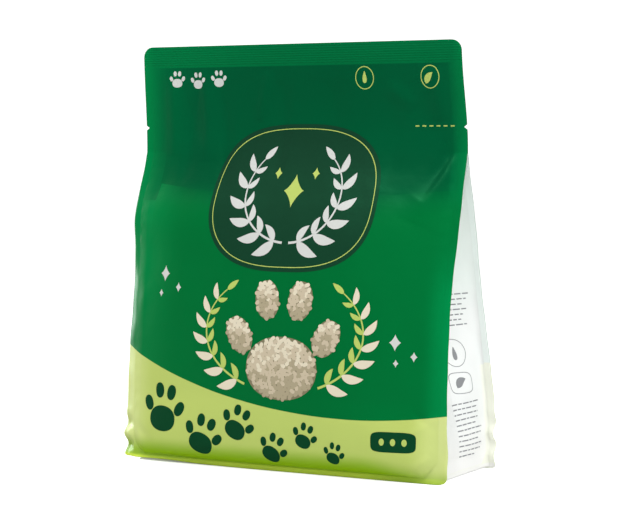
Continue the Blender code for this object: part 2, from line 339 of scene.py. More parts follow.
def fold_depth(z):
    """How far the middle of a side web is folded in."""
    free = np.sqrt(np.maximum((BASE_DEPTH / 2) ** 2 - half_depth(z) ** 2, 0.0))
    return free * (0.72 + 0.28 * smooth_step(z, 0.08, 0.19))


def fillet(z):
    """How far out along its fins a side web still bends away from them."""
    return 0.0014 * np.clip(half_depth(z) / 0.02, 0.0, 1.0)


def gusset_point(along, z, side, lift=0.0):
    """Points of the left (-1) or right (+1) side web, from along -1 in front to +1 at the back.

    It is folded in by a power of its distance from the crease, and bellied out low down.
    """
    along, z = np.broadcast_arrays(np.asarray(along, float), np.asarray(z, float))
    sharp = 1.35 - 0.35 * smooth_step(z, 0.10, 0.20)
    blunt = 0.10 * (1.0 - smooth_step(z, 0.10, 0.21))
    ridge = np.sqrt(along**2 + blunt**2)
    ridge = np.clip((ridge - blunt) / (1.0 - blunt), 0.0, 1.0)
    inward = fold_depth(z) * (1.0 - ridge) ** sharp
    free = 1.0 - along**2
    soft = SIDE_LUMPS * lumps(along * 0.045, z, 53 + side)
    soft = soft + SIDE_RIPPLES * lumps(along * 0.09, z * 1.7, 57 + side)
    belly = BELLY * smooth_step(z, 0.006, 0.03) * (1.0 - smooth_step(z, 0.06, 0.11))
    gap = 1.0 - np.abs(along)
    pull = SIDE_PUCKERS * puckers(gap * 0.045, z, 61 + side) * smooth_step(gap, 0.0, 0.06)
    out = free * smooth_step(z, RIM, 0.02) * (1.0 - smooth_step(z, *SHOULDER))
    out = out * (soft + belly + pull)
    bend = fillet(z) * np.exp(-gap * BASE_DEPTH / 2 / 0.0024)
    x = side * (seam_x(z) - inward + out + bend + lift)
    y = middle(z, x) + along * (half_depth(z) - FIN_THICKNESS)
    y = y + np.where(along < 0, -fin_ripple(x, z, -1), fin_ripple(x, z, 1))
    return np.stack([x, y, z], -1)


folds = [round(1000 * float(fold_depth(z)), 1) for z in (0.0, 0.1, 0.2)]
print("sides fold in by, in mm", folds)


# %% [markdown]
# ## Turning points into film
#
# Each web is a grid of points. Rows are levels, closer together in the crimped seal and near the
# floor, and columns run across the web, closer together near its welds. A number on each point
# records how much of the film there is welded, which the material reads later.


# %% Grids to meshes
def quads(shape, flip, first=0):
    """Faces between neighbours on a grid of points; flip turns them the other way."""
    index = first + np.arange(shape[0] * shape[1]).reshape(shape)
    corners = [index[:-1, :-1], index[:-1, 1:], index[1:, 1:], index[1:, :-1]]
    return np.stack([corner.ravel() for corner in (corners[::-1] if flip else corners)], -1)


def add_object(name, data):
    """A new object in the scene."""
    made = bpy.data.objects.new(name, data)
    bpy.context.scene.collection.objects.link(made)
    return made


def mesh_piece(name, vertices, faces, weld=None):
    """One mesh object from arrays of points and quads, with smooth faces."""
    data = bpy.data.meshes.new(name)
    data.vertices.add(len(vertices))
    data.vertices.foreach_set("co", np.asarray(vertices, np.float32).ravel())
    data.loops.add(faces.size)
    data.loops.foreach_set("vertex_index", faces.ravel().astype(np.int32))
    data.polygons.add(len(faces))
    data.polygons.foreach_set("loop_start", np.arange(0, faces.size, 4, dtype=np.int32))
    data.polygons.foreach_set("use_smooth", np.ones(len(faces), bool))
    data.update(calc_edges=True)
    data.validate()
    if weld is not None:
        attribute = data.attributes.new("weld", "FLOAT", "POINT")
        attribute.data.foreach_set("value", np.asarray(weld, np.float32).ravel())
    return add_object(name, data)


def grid_piece(name, points, flip, weld):
    """One mesh object from a grid of points, and how much of the film is welded at each."""
    return mesh_piece(name, points.reshape(-1, 3), quads(points.shape[:2], flip), weld)


# %% Rows, notches and welds
def levels():
    """Heights of the rows, from the floor to the top edge."""
    foot = np.linspace(0.0, 0.030, 31)
    body = np.linspace(0.030, 0.198, 113)[1:]
    head = np.linspace(0.198, HEIGHT - TOP_SEAL, 81)[1:]
    seal = np.linspace(HEIGHT - TOP_SEAL, HEIGHT, 8 * CRIMPS + 1)[1:]
    cut = NOTCH_HEIGHT + NOTCH_HALF * np.linspace(-1, 1, 5)
    return np.unique(np.round(np.concatenate([foot, body, head, seal, cut]), 6))


def notch(z):
    """How deep the tear notch cuts into the fins."""
    return NOTCH_DEPTH * np.clip(1.0 - np.abs(z - NOTCH_HEIGHT) / NOTCH_HALF, 0.0, 1.0)


def foot_weld(inside, z):
    """1 on the rim and where a point is inside a corner triangle, 0 on loose film."""
    corner = smooth_step(inside, -0.0004, 0.0004) * (z < 0.03)
    return np.maximum(corner, 1.0 - smooth_step(z, RIM - 0.0003, RIM + 0.0005))


def welded(x, z):
    """1 on the fins, the rim and the corner triangles of a panel, 0 on loose film."""
    seam = seam_x(z)
    fin = smooth_step(np.abs(x), seam - 0.0002, seam + 0.0005)
    return np.maximum(fin, foot_weld(np.abs(x) - (seam - CORNER_WELD) - (z - RIM), z))


print(len(levels()), "rows from the floor to the top edge")


# %% The five webs
def panel_web(name, side):
    """The front or back web with its fins, closed over the top and under the rim."""
    z = levels()[:, None]
    fin = np.linspace(0.0, 1.0, 7)[None, :]
    seam = seam_x(z)
    edges = [edge_x(z, *CORNERS[(hand, side)]) - notch(z) for hand in (-1, 1)]
    left, right = (seam + fin * (edge - seam) for edge in edges)
    across = np.sin(np.linspace(-1, 1, 199) * math.pi / 2)[None, 1:-1]
    x = np.concatenate([-left[:, ::-1], across * seam, right], 1)
    z = np.broadcast_to(z, x.shape)
    outer = np.stack([x, panel_y(x, z, side), z], -1)
    inner_depth = np.where(z < POCKET_TOP, half_depth(z) - FIN_THICKNESS, 0.0)
    inner = outer.copy()
    inner[..., 1] = middle(z, x) + crimp(z) + side * (inner_depth + fin_ripple(x, z, side))
    points = np.concatenate([inner[:, :1], outer, inner[:, -1:]], 1)
    ones = np.ones((len(x), 1))
    weld = np.concatenate([ones, welded(x, z), ones], 1)
    foot = points[:1].copy()
    foot[..., 1] -= side * RIM_THICKNESS * np.array([0.5] + [1.0] * x.shape[1] + [0.5])
    top = points[-1:].copy()
    top[..., 1] = middle(HEIGHT, top[..., 0])
    points = np.concatenate([foot, points, top])
    if side < 0:
        points[..., 2] += rim_lift(points[..., 0], points[..., 2])
    weld = np.concatenate([weld[:1], weld, weld[-1:]])
    return grid_piece(name, points, side > 0, weld)


def side_web(name, side):
    """One side web with the inner faces of its two fins, from the rim to the top of its pocket."""
    z = levels()
    z = np.append(z[z < POCKET_TOP], POCKET_TOP)[:, None]
    along = np.sin(np.linspace(-1, 1, 83) * math.pi / 2)[None, :]
    web = gusset_point(along, z, side)
    fin = np.linspace(0.0, 1.0, 6)[None, :]
    start = seam_x(z) + fillet(z)
    strips = []
    for face in (-1, 1):
        x = side * (start + fin * np.maximum(edge_x(z, *CORNERS[(side, face)]) - start, 0.0))
        zz = np.broadcast_to(z, x.shape)
        y = middle(zz, x) + face * (half_depth(zz) - FIN_THICKNESS + fin_ripple(x, zz, face))
        strips.append(np.stack([x, y, zz], -1))
    front, back = strips[0][:, :0:-1], strips[1][:, 1:]
    points = np.concatenate([front, web, back], 1)
    reach = (1.0 - np.abs(np.broadcast_to(along, web.shape[:2]))) * BASE_DEPTH / 2
    beside = 0.8 * (1.0 - smooth_step(reach, 0.0015, 0.0060)) * (z < 0.081)
    inner = np.maximum(foot_weld(CORNER_WELD - (z - RIM) - reach, z), beside)
    ones = np.ones((len(z), front.shape[1]))
    weld = np.concatenate([ones, inner, ones], 1)
    foot = points[:1].copy()
    foot[..., 0] -= side * RIM_THICKNESS * np.array([0.0] * 5 + [1.0] * web.shape[1] + [0.0] * 5)
    points = np.concatenate([foot, points])
    near = smooth_step(-along[0], 0.2, 1.0)
    near = np.concatenate([np.ones(front.shape[1]), near, np.zeros(back.shape[1])])
    points[..., 2] += near * rim_lift(points[..., 0], points[..., 2])
    weld = np.concatenate([weld[:1], weld])
    return grid_piece(name, points, side < 0, weld)


def bottom_web(name):
    """The bottom film: flat on the floor, with a groove between it and the welded rim."""
    half_x, half_y = float(seam_x(np.array(0.0))) - 0.0008, BASE_DEPTH / 2 - 0.0008
    spread = [[0, 0.0006, 0.0016, 0.003, 0.005, 0.0075], np.linspace(0.012, 0.026, 3)]
    spread = np.concatenate(spread)
    core = np.linspace(-half_x + 0.04, half_x - 0.04, 24)
    x = np.concatenate([-half_x + spread, core, half_x - spread[::-1]])
    y = np.concatenate([-half_y + spread, [0.0], half_y - spread[::-1]])
    x, y = np.meshgrid(x, y)
    inset = np.minimum(half_x - np.abs(x), half_y - np.abs(y))
    z = 0.0032 * np.sin(math.pi * np.clip(inset / 0.0072, 0, 1)) ** 0.8
    points = np.stack([x, y + 0.001, z], -1)
    return grid_piece(name, points, True, np.zeros(x.shape))


front = panel_web("front_film", -1)
back = panel_web("back_film", 1)
right_side = side_web("right_side_film", 1)
left_side = side_web("left_side_film", -1)
bottom = bottom_web("bottom_film")
webs = [front, back, right_side, left_side, bottom]
for web in webs:
    print(web.name, len(web.data.polygons), "quads", [round(d * 1000, 1) for d in web.dimensions])

# %% [markdown]
# ## Printed shapes
#
# Ink is far thinner than film, but here each printed shape is a sheet of its own that follows the
# film a hair's breadth above it, so its outline stays sharp. Every shape is again a grid: a disc
# is rings by angles, a stroke is steps along a path by steps across it, and a leaf is a stroke
# with a swelling width.


# %% Flat shapes as grids of x and z
STAR, PAD, OVAL = 0.75, 2.2, 2.7


def turned(x, z, u, v, turn):
    """The point u beside and v above x and z, once both are turned by an angle."""
    c, s = math.cos(turn), math.sin(turn)
    return x + u * c - v * s, z + u * s + v * c


def squared(value, power):
    """A sine or cosine to the power of 2 over power, with its sign kept."""
    return np.sign(value) * np.abs(value) ** (2 / power)


def disc(cx, cz, rx, rz, power=2.0, turn=0.0):
    """A filled oval; a power above 2 squares it off, and one below 1 makes a four-pointed star."""
    steps = max(16 if power > 1 else 49, 4 * int(1.6 * max(rx, rz) / 0.0016) + 1)
    angle = np.linspace(0, 2 * math.pi, steps)[None, :]
    reach = np.linspace(0, 1, max(3, int(max(rx, rz) / 0.0016)))[:, None]
    u = rx * reach * squared(np.cos(angle), power)
    v = rz * reach * squared(np.sin(angle), power)
    return turned(cx, cz, u, v, turn)


def ring(cx, cz, rx, rz, width, power=2.0):
    """The outline of an oval, which a power above 2 squares off."""
    steps = max(24, int(2 * math.pi * max(rx, rz) / 0.0014))
    angle = np.radians(np.linspace(0.0, 360.0, steps))[None, :]
    u, v = squared(np.cos(angle), power), squared(np.sin(angle), power)
    inward = np.linspace(0, width, 3)[:, None]
    return cx + (rx - inward) * u, cz + (rz - inward) * v


def stroke(path, width):
    """A band along a path of (x, z) points, with one width or a width for each point."""
    path = np.asarray(path, float)
    tangent = np.gradient(path, axis=0)
    tangent /= np.maximum(np.linalg.norm(tangent, axis=1, keepdims=True), 1e-9)
    half = np.broadcast_to(np.asarray(width, float) / 2, len(path))[:, None]
    across = np.linspace(-1, 1, 5)[None, :]
    x = path[:, :1] - tangent[:, 1:] * half * across
    return x, path[:, 1:] + tangent[:, :1] * half * across


def leaf(x, z, length, width, turn, bend=0.12):
    """A leaf from its stalk at x and z: its width swells early and closes to a point."""
    t = np.linspace(0, 1, max(10, int(length / 0.0012)))
    swell = width * np.sin(math.pi * t**0.8) ** 0.85
    u, v = length * t, length * bend * np.sin(math.pi * t)
    return stroke(np.stack(turned(x, z, u, v, turn), -1), swell)


def drop(x, z, size):
    """A drop standing on its round end."""
    t = np.linspace(0, 1, 24)
    swell = size * 1.25 * np.sqrt(t) * np.sqrt(1 - t) * (1.55 - 1.1 * t)
    return stroke(np.stack([np.full(24, x), z - size * 0.8 + size * 1.8 * t], -1), swell)


# each oval of a paw print: its place, its two radii and its lean
PAW = (
    (0.0, -0.22, 0.34, 0.27, 0.0),
    (-0.42, 0.05, 0.115, 0.165, 0.5),
    (-0.16, 0.36, 0.115, 0.165, 0.15),
    (0.16, 0.36, 0.115, 0.165, -0.15),
    (0.42, 0.05, 0.115, 0.165, -0.5),
)


def paw(x, z, size, turn=0.0):
    """A paw print as ovals: one broad pad, and four toes in an arc over it."""
    ovals = []
    for u, v, rx, rz, lean in PAW:
        px, pz = turned(x, z, size * u, size * v, turn)
        ovals.append((px, pz, size * rx, size * rz, lean + turn))
    return ovals


# %% [markdown]
# ## The front's own design
#
# A dark oval carries two white sprigs round a lime star. Below it a big paw print is filled with
# cream pellets, with a sprig on each side, and smaller dark paws walk along the lime band. The
# pellets are laid out like seeds in a sunflower: each next one turns by the golden angle and
# moves out by the square root of its number.

# %% Lay out the printed shapes of the front
INKS = ("white", "lime", "dark", "deep", "cream", "pale", "straw", "husk")
prints = {name: [] for name in INKS}


def put(ink, shape, layer=1):
    """Adds one shape to an ink, at a layer above the film."""
    prints[ink].append((shape, layer))


def sprig(path, count, size, pair, layer):
    """A stem with a leaf on its tip and pairs along it, the shorter ones on its hollow side."""
    put(pair[0], stroke(path, np.linspace(0.0018, 0.0009, len(path))), layer)
    (ax, az), (bx, bz) = path[20] - path[0], path[40] - path[20]
    outer = -1 if ax * bz - az * bx > 0 else 1
    for number in range(count + 1):
        at = min(round((number + 0.5) * len(path) / (count + 0.5)), len(path) - 1)
        run = path[at] - path[at - 2]
        lean = math.atan2(run[1], run[0])
        length = size * (1.0 - 0.35 * number / count)
        if number == count:
            put(pair[0], leaf(*path[at], length, length * 0.36, lean, 0.0), layer + 1)
            continue
        for side in (-1, 1):
            own = length * (1.0 if side == outer else 0.72)
            shape = leaf(*path[at], own, own * 0.38, lean + 0.75 * side, 0.10 * side)
            put(pair[side == outer], shape, layer + 2)


def arc(cx, cz, rx, rz, start, end):
    """Points along part of an oval, between two angles in degrees."""
    angle = np.radians(np.linspace(start, end, 60))
    return np.stack([cx + rx * np.cos(angle), cz + rz * np.sin(angle)], -1)


def stamp(ink, x, z, size, turn=0.0):
    """One paw print in one ink."""
    for px, pz, rx, rz, lean in paw(x, z, size, turn):
        put(ink, disc(px, pz, rx, rz, PAD, lean))


# %% A dark oval with two white sprigs round a lime star
MIDDLE_X, MIDDLE_Z = 0.005, 0.2055
put("deep", disc(MIDDLE_X, MIDDLE_Z, 0.070, 0.055, OVAL))
put("lime", ring(MIDDLE_X, MIDDLE_Z, 0.0668, 0.0518, 0.0006, OVAL), 2)
put("lime", disc(MIDDLE_X, 0.2105, 0.0085, 0.0125, STAR), 2)
for hand in (-1, 1):
    sprig(arc(MIDDLE_X, 0.209, 0.040 * hand, 0.037, -86, 42), 6, 0.0205, ("white", "white"), 2)
    put("lime", disc(MIDDLE_X + 0.016 * hand, 0.2235, 0.0032, 0.0046, STAR), 2)

# %% A big paw print of pellets, with a sprig on each side
PELLET_AREA, GOLDEN_ANGLE = 0.0000090, math.pi * (3 - math.sqrt(5))
pads = paw(0.008, 0.0985, 0.087)
for x, z, rx, rz, turn in pads:
    put("husk", disc(x, z, rx, rz, PAD, turn), 2)
rng = np.random.default_rng(7)
for x, z, rx, rz, turn in pads:
    count = int(rx * rz * math.pi / PELLET_AREA)
    for number in range(count):
        reach, angle = math.sqrt((number + 0.5) / count) * 0.97, number * GOLDEN_ANGLE
        u, v = rx * reach * math.cos(angle), rz * reach * math.sin(angle)
        px, pz = turned(x, z, u, v, turn)
        shaded = (z - pz) / rz + float(rng.uniform(-0.6, 0.6))
        tone = "pale" if shaded < -0.45 else "cream" if shaded < 0.25 else "straw"
        pellet = disc(px, pz, 0.00215, 0.00150, 2.6, rng.uniform(0, math.pi))
        put(tone, pellet, 3 + number % 6)
for hand in (-1, 1):
    sprig(arc(0.008, 0.106, 0.066 * hand, 0.045, -62, 42), 7, 0.0185, ("lime", "pale"), 2)

# %% Stars beside it, small paws and badges in the head, dashes at the tear notch
for x, z, size in (
    (-0.101, 0.146, 0.0062),
    (-0.087, 0.136, 0.0038),
    (-0.104, 0.131, 0.0030),
    (0.098, 0.102, 0.0062),
    (0.112, 0.092, 0.0038),
    (0.099, 0.087, 0.0030),
):
    put("white", disc(x, z, size * 0.72, size, STAR))
for number in range(3):
    stamp("white", -0.107 + 0.019 * number, 0.2955 - 0.0012 * (number % 2), 0.0125)
for x in (0.058, 0.112):
    put("lime", ring(x, 0.2945, 0.0078, 0.0086, 0.0007))
put("lime", drop(0.058, 0.2945, 0.0050))
put("lime", leaf(0.1085, 0.2895, 0.0100, 0.0052, 0.95))
for number in range(6):
    x = 0.098 + 0.0055 * number
    put("lime", stroke(np.linspace((x, 0.2588), (x + 0.003, 0.2588), 4), 0.0009))

# %% A trail of dark paw prints that get smaller along the lime band, and a badge with three dots
for x, z, size, turn in (
    (-0.097, 0.0430, 0.036, -0.10),
    (-0.060, 0.0250, 0.030, -0.35),
    (-0.029, 0.0360, 0.026, -0.45),
    (0.001, 0.0190, 0.022, -0.45),
    (0.028, 0.0300, 0.019, -0.35),
    (0.052, 0.0185, 0.016, -0.25),
):
    stamp("dark", x, z, size, turn)
put("dark", disc(0.0990, 0.0300, 0.0170, 0.0074, power=5.0))
for number in range(3):
    put("lime", disc(0.0905 + 0.0085 * number, 0.0300, 0.0020, 0.0026), 2)
print("shapes in each ink", {name: len(shapes) for name, shapes in prints.items()})


# %% Make one sheet of each ink
FILM_GAP, LAYER_GAP = 0.00005, 0.00003


def print_piece(name, shapes, place):
    """One mesh from many flat grids, each set on the film by place and facing outwards."""
    vertices, faces, total = [], [], 0
    for (x, z), layer in shapes:
        x, z = np.broadcast_arrays(x, z)
        dx = np.gradient(x, axis=1), np.gradient(x, axis=0)
        dz = np.gradient(z, axis=1), np.gradient(z, axis=0)
        turn = float((dx[0] * dz[1] - dz[0] * dx[1]).sum())
        faces.append(quads(x.shape, turn <= 0, total))
        vertices.append(place(x, z, FILM_GAP + LAYER_GAP * layer).reshape(-1, 3))
        total += x.size
    return mesh_piece(name, np.concatenate(vertices), np.concatenate(faces))


def on_front(x, z, lift):
    """Points of the front film, raised by lift along its own normal, which two slopes give."""
    step = 0.0004
    slope_x = (panel_y(x + step, z, -1) - panel_y(x - step, z, -1)) / (2 * step)
    slope_z = (panel_y(x, z + step, -1) - panel_y(x, z - step, -1)) / (2 * step)
    normal = np.stack([slope_x, -np.ones_like(x), slope_z], -1)
    normal /= np.linalg.norm(normal, axis=-1, keepdims=True)
    return np.stack([x, panel_y(x, z, -1), z], -1) + lift * normal


inks = {name: print_piece(f"{name}_print", prints[name], on_front) for name in INKS}

# %% [markdown]
# ## Small print on the side
#
# The side web has rows of short grey bars where a pouch carries its instructions, and two plain
# pictograms. The rows start at the middle crease, and the higher ones rise a little towards the
# back, as the film does.

# %% Lay out the side's bars and pictograms
ROW_PITCH, BAR_WIDTH, BAR_GAP = 0.0038, 0.0009, 0.0012
prints["side"] = []
rng = np.random.default_rng(3)
for low, high in ((0.014, 0.054), (0.110, 0.134)):
    for row in np.arange(low, high, ROW_PITCH):
        a, end = 0.0, float(rng.uniform(0.022, 0.040))
        while a < end:
            word = float(rng.uniform(0.0025, 0.0075))
            steps = np.linspace(a, min(a + word, end), 5)
            slope = 0.06 * min((row - 0.010) / 0.040, 1.0)
            bar = np.stack([steps, row + slope * steps], -1)
            put("side", stroke(bar, BAR_WIDTH))
            a += word + BAR_GAP
put("side", ring(0.016, 0.0905, 0.0105, 0.0105, 0.0005))
put("side", drop(0.016, 0.0895, 0.0056))
put("side", ring(0.016, 0.0680, 0.0120, 0.0080, 0.0005, power=4.0))
put("side", leaf(0.0105, 0.0645, 0.0125, 0.0062, 0.55))


def on_side(side):
    """Places print on the right (1) or left (-1) web, where a runs back from the middle crease."""
    return lambda a, z, lift: gusset_point(a / (BASE_DEPTH / 2), z, side, lift)


inks["side"] = print_piece("right_side_print", prints["side"], on_side(1))
left_print = print_piece("left_side_print", prints["side"], on_side(-1))
left_print.data.flip_normals()
print("ink sheets", {name: len(piece.data.polygons) for name, piece in inks.items()})

# %% [markdown]
# ## Film and ink
#
# The green ink lets some light through. Where something pale lies behind it, such as the filling,
# a folded side web or a weld, it looks brighter, and where the pouch is empty it looks deeper.
# One node group works that out from height and width, and adds painted light on the ends of the
# body and painted shade on the foot and where the head tilts back. A second does the same for the
# white film, with painted light near the floor, and a third gives all the film the same faint
# grain. Where the green film is glossy, its sheen is green too.


# %% Node helpers
def linear(red, green, blue):
    """A screen colour from 0 to 255 as the light values that a shader needs."""
    share = np.array([red, green, blue], float) / 255
    value = np.where(share <= 0.04045, share / 12.92, ((share + 0.055) / 1.055) ** 2.4)
    return (*value.tolist(), 1.0)


class Wires:
    """Adds nodes to a tree and joins them: a value is a number, a colour or another's socket."""

    def __init__(self, tree):
        self.tree = tree

    def node(self, kind, **settings):
        """One new node with its settings."""
        made = self.tree.nodes.new(kind)
        for key, value in settings.items():
            setattr(made, key, value)
        return made

    def feed(self, socket, value):
        """Gives a socket a fixed value, or joins another socket to it."""
        if isinstance(value, (int, float, tuple)):
            socket.default_value = value
        else:
            self.tree.links.new(value, socket)

    def math(self, operation, *values):
        """The result of one Math node."""
        made = self.node("ShaderNodeMath", operation=operation)
        for socket, value in zip(made.inputs, values):
            self.feed(socket, value)
        return made.outputs[0]

    def times(self, first, second):
        """The product of two values."""
        return self.math("MULTIPLY", first, second)

    def times_add(self, first, second, third):
        """The product of two values, plus a third."""
        return self.math("MULTIPLY_ADD", first, second, third)

    def most(self, first, second):
        """The larger of two values."""
        return self.math("MAXIMUM", first, second)

    def ramp(self, value, low, high, start=0.0, end=1.0):
        """Eases from start to end while a value goes from low to high."""
        made = self.node("ShaderNodeMapRange", interpolation_type="SMOOTHSTEP")
        for socket, item in zip(made.inputs, (value, low, high, start, end)):
            self.feed(socket, item)
        return made.outputs[0]

    def mix(self, factor, first, second):
        """A colour between two others."""
        made = self.node("ShaderNodeMix", data_type="RGBA")
        for label, value in (("Factor", factor), (6, first), (7, second)):
            self.feed(made.inputs[label], value)
        return made.outputs[2]

    def noise(self, scale, detail, place):
        """Soft noise: scale is how many waves go in a metre, detail how many octaves."""
        made = self.node("ShaderNodeTexNoise")
        for label, value in (("Scale", scale), ("Detail", detail), ("Vector", place)):
            self.feed(made.inputs[label], value)
        return made.outputs[0]

    def place(self):
        """The place on the piece: the whole of it, then x, y and z."""
        whole = self.node("ShaderNodeTexCoord").outputs["Object"]
        split = self.node("ShaderNodeSeparateXYZ")
        self.feed(split.inputs[0], whole)
        return whole, *split.outputs


def group(name, inputs, outputs):
    """An empty node group with named inputs and outputs, and what is needed to fill it."""
    tree = bpy.data.node_groups.new(name, "ShaderNodeTree")
    for label, kind, value in inputs:
        socket = tree.interface.new_socket(label, in_out="INPUT", socket_type=kind)
        socket.default_value = value
    for label, kind in outputs:
        tree.interface.new_socket(label, in_out="OUTPUT", socket_type=kind)
    return tree, Wires(tree), tree.nodes.new("NodeGroupInput"), tree.nodes.new("NodeGroupOutput")


# %% The printed ground: green over lime, brighter where something pale lies behind, with painted light and shade
HEAD_GREEN, FULL_GREEN = linear(0, 84, 49), linear(0, 106, 49)
WELD_GREEN, WELD_LIME = linear(0, 136, 70), linear(214, 223, 148)
# the lime at the foot is painted shade, where the film curves under toward the floor
LIME, FOOT_SHADE_LIME, RIM_LIME = linear(186, 201, 106), linear(140, 180, 6), linear(222, 244, 84)

# the curved edge between lime and green: its height in the middle, its slope and its curve
EDGE, EDGE_SLOPE, EDGE_CURVE = 0.0492, 0.1395, 1.06

# the top of the filling: its height in the middle, its slope, and its drop at the folded left side
LINE, LINE_SLOPE, LINE_DROP = 0.2018, 0.11, 0.0130

# where the left side web starts behind the front, and half the width of a sharp edge in the print
FOLDED, SHARP = 0.1175, 0.0004

ground, wire, given, result = group(
    "printed_ground",
    [("High End", "NodeSocketFloat", -1.0)],
    [("Color", "NodeSocketColor")],
)
place, x, _, z = wire.place()
welds = wire.node("ShaderNodeAttribute", attribute_name="weld").outputs["Fac"]

# across runs to the end where the lime stands higher, far runs to the other end
across = wire.times(x, given.outputs["High End"])
far = wire.times(across, -1.0)
reach = wire.math("ABSOLUTE", x)

edge = wire.times_add(wire.times(across, across), EDGE_CURVE, EDGE)
edge = wire.times_add(across, EDGE_SLOPE, edge)
lime_mask = wire.ramp(wire.math("SUBTRACT", edge, z), -0.00015, 0.00015)

# over is the height over the top of the filling
folded = wire.ramp(across, FOLDED - 0.0005, FOLDED + 0.0009)
line = wire.math("MINIMUM", wire.most(across, wire.times(across, -0.7)), FOLDED)
line = wire.times_add(line, LINE_SLOPE, LINE)
line = wire.times_add(folded, -LINE_DROP, line)
over = wire.math("SUBTRACT", z, line)
above = wire.ramp(over, -SHARP, SHARP)

# the filling lights the green from behind; the green is darker in the middle and lighter towards
# the sides, and painted shade darkens a band where the head tilts back
level = wire.times_add(wire.noise(38.0, 3.0, place), 0.012, over)
filled = wire.ramp(wire.times_add(above, 0.005, level), -0.014, 0.021, 1.0, 0.0)
shade = wire.ramp(reach, 0.030, 0.100, 0.92, 1.01)
shade = wire.times_add(wire.noise(14.0, 2.0, place), 0.10, shade)
# painted shade: a darker band low in the head, where it tilts back
painted_tilt_shade = wire.times(wire.ramp(z, 0.200, 0.218), wire.ramp(z, 0.232, 0.256, 0.14, 0.0))
shade = wire.math("SUBTRACT", shade, painted_tilt_shade)
dark = wire.node("ShaderNodeVectorMath", operation="SCALE")
wire.feed(dark.inputs[0], wire.mix(filled, HEAD_GREEN, FULL_GREEN))
wire.feed(dark.inputs["Scale"], shade)

# the strips where a folded side web or a fin lies behind the green
sides = wire.ramp(z, 0.200, 0.250, 0.34, 0.20)
low = wire.times(wire.math("SUBTRACT", 1.0, above), wire.ramp(z, 0.160, 0.190))
sides = wire.times_add(low, 0.38, sides)
left = wire.times(folded, wire.ramp(across, 0.1180, 0.1390, sides, 0.78))
left = wire.times(left, wire.ramp(z, 0.120, 0.170))
right = wire.times(wire.ramp(far, 0.1250, 0.1285), wire.ramp(far, 0.1250, 0.1380, 0.15, 0.55))
right = wire.times(right, wire.ramp(z, 0.190, 0.215))
strip = wire.most(left, right)

# the top seal, where something pale lies behind too, and painted light: lighter towards the seal's
# high end and on the two ends of the body, where the panel turns to the side lights
seal = wire.ramp(z, HEIGHT - TOP_SEAL - SHARP, HEIGHT - TOP_SEAL + SHARP)
seal = wire.times(seal, wire.most(wire.ramp(across, 0.000, 0.130, 0.33, 0.46), strip))
# painted light on the two ends of the body, where the panel turns toward the side lights
left = wire.ramp(across, 0.085, 0.128, 0.0, 0.66)
left = wire.times(left, wire.ramp(z, 0.090, 0.160, 0.50, 1.0))
left = wire.times(left, wire.times_add(above, -0.75, 1.0))
right = wire.times(wire.ramp(far, 0.116, 0.137), wire.ramp(z, 0.125, 0.180, 1.0, 0.12))
pale = wire.most(wire.most(strip, seal), wire.most(left, right))
green = wire.mix(pale, dark.outputs[0], WELD_GREEN)

# the lime: painted shade at its foot, where the film curves under toward the floor, painted light
# at its ends, paler on its welds, and bright along the rim
foot = wire.math("ADD", z, wire.ramp(far, 0.070, 0.128, 0.0, 0.0095))
foot = wire.ramp(foot, 0.0075, 0.0220)
lime = wire.mix(foot, FOOT_SHADE_LIME, LIME)
# painted light: the lime is paler towards both ends
glow = wire.times(wire.ramp(reach, 0.108, 0.128), foot)
lime = wire.mix(wire.times(glow, 0.50), lime, WELD_LIME)
lime = wire.mix(wire.times(welds, wire.ramp(z, 0.004, 0.030, 0.12, 0.60)), lime, WELD_LIME)
rim = wire.times(wire.ramp(z, 0.0025, 0.0050, 1.0, 0.0), wire.ramp(far, 0.060, 0.115, 1.0, 0.25))
lime = wire.mix(rim, lime, RIM_LIME)
wire.feed(result.inputs["Color"], wire.mix(lime_mask, green, lime))

# %% The white web: faint green and lime show through where the printed panels are welded to it, and painted light near the floor
white_ground, wire, given, result = group("white_ground", [], [("Color", "NodeSocketColor")])
place, _, y, z = wire.place()
welds = wire.node("ShaderNodeAttribute", attribute_name="weld").outputs["Fac"]
tint = wire.mix(wire.ramp(z, 0.0812, 0.0822), linear(249, 251, 237), linear(244, 252, 248))
plain = wire.mix(wire.noise(30.0, 2.0, place), linear(236, 240, 238), linear(242, 244, 242))
# painted light: the web is lighter near the floor, where it turns down toward it
plain = wire.mix(wire.ramp(z, 0.004, 0.050, 0.9, 0.0), plain, linear(252, 252, 249))

# higher up the folds lie closer together, and the green shows through, first at the back
above = wire.ramp(z, 0.118, 0.150)
behind = wire.ramp(y, -0.004, 0.006)
over = wire.most(wire.ramp(z, 0.132, 0.162), wire.times(above, behind))
plain = wire.mix(wire.times(over, 0.9), plain, linear(238, 246, 241))
welds = wire.times(welds, wire.ramp(z, 0.0035, 0.0045, 0.15, 1.0))
wire.feed(result.inputs["Color"], wire.mix(welds, plain, tint))

# %% The grain that all the film shares
grain, wire, given, result = group(
    "film_grain",
    [("Depth", "NodeSocketFloat", 1.0)],
    [("Height", "NodeSocketFloat"), ("Gloss", "NodeSocketFloat")],
)
place = wire.node("ShaderNodeTexCoord").outputs["Object"]
fine, broad = wire.noise(620.0, 2.0, place), wire.noise(95.0, 3.0, place)
height = wire.times_add(fine, 0.10, wire.times(broad, 0.9))
wire.feed(result.inputs["Height"], wire.times(height, given.outputs["Depth"]))
wire.feed(result.inputs["Gloss"], wire.times_add(broad, 0.10, 0.27))
print("node groups", [tree.name for tree in (ground, white_ground, grain)])


# %% Film and ink materials
def grey(value):
    """A neutral colour of one light value."""
    return (value, value, value, 1.0)


BUMP_STRENGTH, BUMP_DISTANCE = 0.35, 0.0006


def new_material(name):
    """A material, what wires its nodes, and its surface."""
    made = bpy.data.materials.new(name)
    made.use_nodes = True
    return made, Wires(made.node_tree), made.node_tree.nodes["Principled BSDF"]


